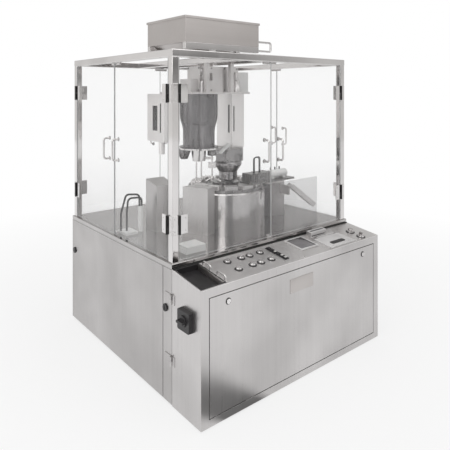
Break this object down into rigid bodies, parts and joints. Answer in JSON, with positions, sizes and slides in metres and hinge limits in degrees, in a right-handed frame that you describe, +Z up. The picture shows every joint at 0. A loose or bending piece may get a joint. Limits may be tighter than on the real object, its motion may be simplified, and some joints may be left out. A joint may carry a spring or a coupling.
{
  "type": "capsule filling machine",
  "caption": "Automatic capsule filling machine: steel cabinet with a sloping console, clear hinged doors, roof tray, hopper and filling turret.",
  "frame": {"origin": "on the floor, under the middle of the whole outline with its handles", "axes": "+X to the right along the console, +Y to the rear, +Z up"},
  "size_m": [1.506, 1.562, 2.049],
  "materials": {
    "stainless": "fine linear grain",
    "polished": "polished stainless",
    "frame_paint": "satin grey",
    "clear_door": "clear acrylic, 8 mm",
    "smoked": "smoked acrylic",
    "black_plastic": "fine texture",
    "grey_plastic": "fine texture",
    "white_plastic": "satin",
    "screen": "gloss screen in a black frame",
    "lamp_lens": "translucent lens",
    "red_plastic": "gloss",
    "machined": "machined",
    "alloy": "anodised",
    "hose": "smooth tube",
    "foot_rubber": "matt"
  },
  "bodies": {
    "machine": {"base_frame": "frame_paint", "leveling_feet": "foot_rubber", "deck_plate": "stainless", "fixed_panels": "stainless", "console_shell": "stainless", "console_desk": "stainless", "black_tray": "black_plastic", "indicator_lamps": "lamp_lens", "operator_panel": "screen", "main_switch_box": "grey_plastic", "enclosure_frame": "polished", "capsule_tray": "stainless", "feed_head": "polished", "capsule_magazines": "stainless", "powder_hopper": "smoked", "hopper_outlet": "polished", "station_housings": "stainless", "turret_base": "polished", "turret_guard": "smoked", "filling_block": "machined", "capsule_loader": "machined", "discharge_chute": "polished", "white_covers": "white_plastic", "air_lines": "hose", "main_drive": "frame_paint"},
    "front_left_leaf": {"front_left_door": "clear_door", "front_left_door_fittings": "polished"},
    "front_right_leaf": {"front_right_door": "clear_door", "front_right_door_fittings": "polished"},
    "left_rear_leaf": {"left_rear_door": "clear_door", "left_rear_door_fittings": "polished"},
    "left_front_leaf": {"left_front_door": "clear_door", "left_front_door_fittings": "polished"},
    "right_front_leaf": {"right_front_door": "clear_door", "right_front_door_fittings": "polished"},
    "right_rear_leaf": {"right_rear_door": "clear_door", "right_rear_door_fittings": "polished"},
    "rear_right_leaf": {"rear_right_door": "clear_door", "rear_right_door_fittings": "polished"},
    "rear_left_leaf": {"rear_left_door": "clear_door", "rear_left_door_fittings": "polished"},
    "left_side_panel_body": {"left_side_panel": "stainless"},
    "left_side_lock_body": {"left_side_lock": "black_plastic"},
    "left_corner_door_body": {"left_corner_door": "stainless"},
    "left_corner_lock_body": {"left_corner_lock": "black_plastic"},
    "console_front_panel_body": {"console_front_panel": "stainless"},
    "push_button_1_body": {"push_button_1": "lamp_lens"},
    "push_button_2_body": {"push_button_2": "lamp_lens"},
    "push_button_3_body": {"push_button_3": "lamp_lens"},
    "push_button_4_body": {"push_button_4": "lamp_lens"},
    "recorder_lid_body": {"recorder_lid": "stainless"},
    "emergency_stop_body": {"emergency_stop": "red_plastic"},
    "selector_knob_body": {"selector_knob": "black_plastic"},
    "main_switch_handle_body": {"main_switch_handle": "black_plastic"},
    "hopper_stirrer_body": {"hopper_stirrer": "polished"},
    "turntable_body": {"turntable": "machined", "capsule_segments": "alloy"},
    "loading_drum_body": {"loading_drum": "alloy"},
    "plunger_head_body": {"plunger_head": "polished"},
    "cam_shaft_body": {"cam_shaft": "machined"}
  },
  "joints": [
    {"name": "front_left_hinge", "type": "hinge", "parent": "machine", "child": "front_left_leaf", "pos_m": [-0.6535, -0.531, 1.25], "axis": [0, 0, -1], "range_deg": [0, 100]},
    {"name": "front_right_hinge", "type": "hinge", "parent": "machine", "child": "front_right_leaf", "pos_m": [0.6655, -0.531, 1.25], "axis": [0, 0, 1], "range_deg": [0, 100]},
    {"name": "left_rear_hinge", "type": "hinge", "parent": "machine", "child": "left_rear_leaf", "pos_m": [-0.702, 0.6935, 1.25], "axis": [0, 0, -1], "range_deg": [0, 100]},
    {"name": "left_front_hinge", "type": "hinge", "parent": "machine", "child": "left_front_leaf", "pos_m": [-0.702, -0.4825, 1.25], "axis": [0, 0, 1], "range_deg": [0, 100]},
    {"name": "right_front_hinge", "type": "hinge", "parent": "machine", "child": "right_front_leaf", "pos_m": [0.714, -0.4825, 1.25], "axis": [0, 0, -1], "range_deg": [0, 100]},
    {"name": "right_rear_hinge", "type": "hinge", "parent": "machine", "child": "right_rear_leaf", "pos_m": [0.714, 0.6935, 1.25], "axis": [0, 0, 1], "range_deg": [0, 100]},
    {"name": "rear_right_hinge", "type": "hinge", "parent": "machine", "child": "rear_right_leaf", "pos_m": [0.6655, 0.742, 1.25], "axis": [0, 0, -1], "range_deg": [0, 100]},
    {"name": "rear_left_hinge", "type": "hinge", "parent": "machine", "child": "rear_left_leaf", "pos_m": [-0.6535, 0.742, 1.25], "axis": [0, 0, 1], "range_deg": [0, 100]},
    {"name": "left_side_panel_pivot", "type": "hinge", "parent": "machine", "child": "left_side_panel_body", "pos_m": [-0.6945, -0.4395, 0.35], "axis": [0, 0, 1], "range_deg": [0, 100]},
    {"name": "left_side_lock_turn", "type": "hinge", "parent": "left_side_panel_body", "child": "left_side_lock_body", "pos_m": [-0.704, 0.7005, 0.487], "axis": [1, 0, 0], "range_deg": [0, 90]},
    {"name": "left_corner_door_hinge", "type": "hinge", "parent": "machine", "child": "left_corner_door_body", "pos_m": [-0.7105, -0.534, 0.35], "axis": [0, 0, 1], "range_deg": [0, 95]},
    {"name": "left_corner_lock_turn", "type": "hinge", "parent": "left_corner_door_body", "child": "left_corner_lock_body", "pos_m": [-0.704, -0.4755, 0.487], "axis": [1, 0, 0], "range_deg": [0, 90]},
    {"name": "console_front_panel_tilt", "type": "hinge", "parent": "machine", "child": "console_front_panel_body", "pos_m": [0.006, -0.778, 0.05], "axis": [1, 0, 0], "range_deg": [0, 20]},
    {"name": "push_button_1_press", "type": "slide", "parent": "machine", "child": "push_button_1_body", "axis": [0, 0.129, -0.9916], "range_m": [0, 0.004], "stiffness_N_per_m": 300},
    {"name": "push_button_2_press", "type": "slide", "parent": "machine", "child": "push_button_2_body", "axis": [0, 0.129, -0.9916], "range_m": [0, 0.004], "stiffness_N_per_m": 300},
    {"name": "push_button_3_press", "type": "slide", "parent": "machine", "child": "push_button_3_body", "axis": [0, 0.129, -0.9916], "range_m": [0, 0.004], "stiffness_N_per_m": 300},
    {"name": "push_button_4_press", "type": "slide", "parent": "machine", "child": "push_button_4_body", "axis": [0, 0.129, -0.9916], "range_m": [0, 0.004], "stiffness_N_per_m": 300},
    {"name": "emergency_stop_press", "type": "slide", "parent": "machine", "child": "emergency_stop_body", "axis": [0, 0.129, -0.9916], "range_m": [0, 0.005]},
    {"name": "selector_knob_turn", "type": "hinge", "parent": "machine", "child": "selector_knob_body", "pos_m": [0.589, -0.74133, 0.66916], "axis": [0, -0.129, 0.9916], "range_deg": [-45, 45]},
    {"name": "recorder_lid_hinge", "type": "hinge", "parent": "machine", "child": "recorder_lid_body", "pos_m": [0.381, -0.62598, 0.68941], "axis": [-1, 0, 0], "range_deg": [0, 80]},
    {"name": "main_switch_turn", "type": "hinge", "parent": "machine", "child": "main_switch_handle_body", "pos_m": [-0.729, -0.6685, 0.492], "axis": [-1, 0, 0], "range_deg": [0, 90]},
    {"name": "hopper_stirrer_spin", "type": "hinge", "parent": "machine", "child": "hopper_stirrer_body", "pos_m": [-0.16, -0.0185, 1.4], "axis": [0, 0, 1], "continuous": true},
    {"name": "cam_shaft_spin", "type": "hinge", "parent": "machine", "child": "cam_shaft_body", "pos_m": [0.006, -0.0185, 0.3], "axis": [1, 0, 0], "continuous": true},
    {"name": "turntable_spin", "type": "hinge", "parent": "machine", "child": "turntable_body", "pos_m": [0.066, -0.0185, 0.954], "axis": [0, 0, 1], "continuous": true},
    {"name": "loading_drum_spin", "type": "hinge", "parent": "machine", "child": "loading_drum_body", "pos_m": [0.04, -0.0765, 1.06], "axis": [0, 0, 1], "continuous": true},
    {"name": "plunger_head_slide", "type": "slide", "parent": "machine", "child": "plunger_head_body", "axis": [0, 0, -1], "range_m": [0, 0.014]}
  ],
  "couplings": [
    {"joint": "turntable_spin", "follows": "cam_shaft_spin", "ratio": 0.083333},
    {"joint": "loading_drum_spin", "follows": "cam_shaft_spin", "ratio": 1}
  ]
}
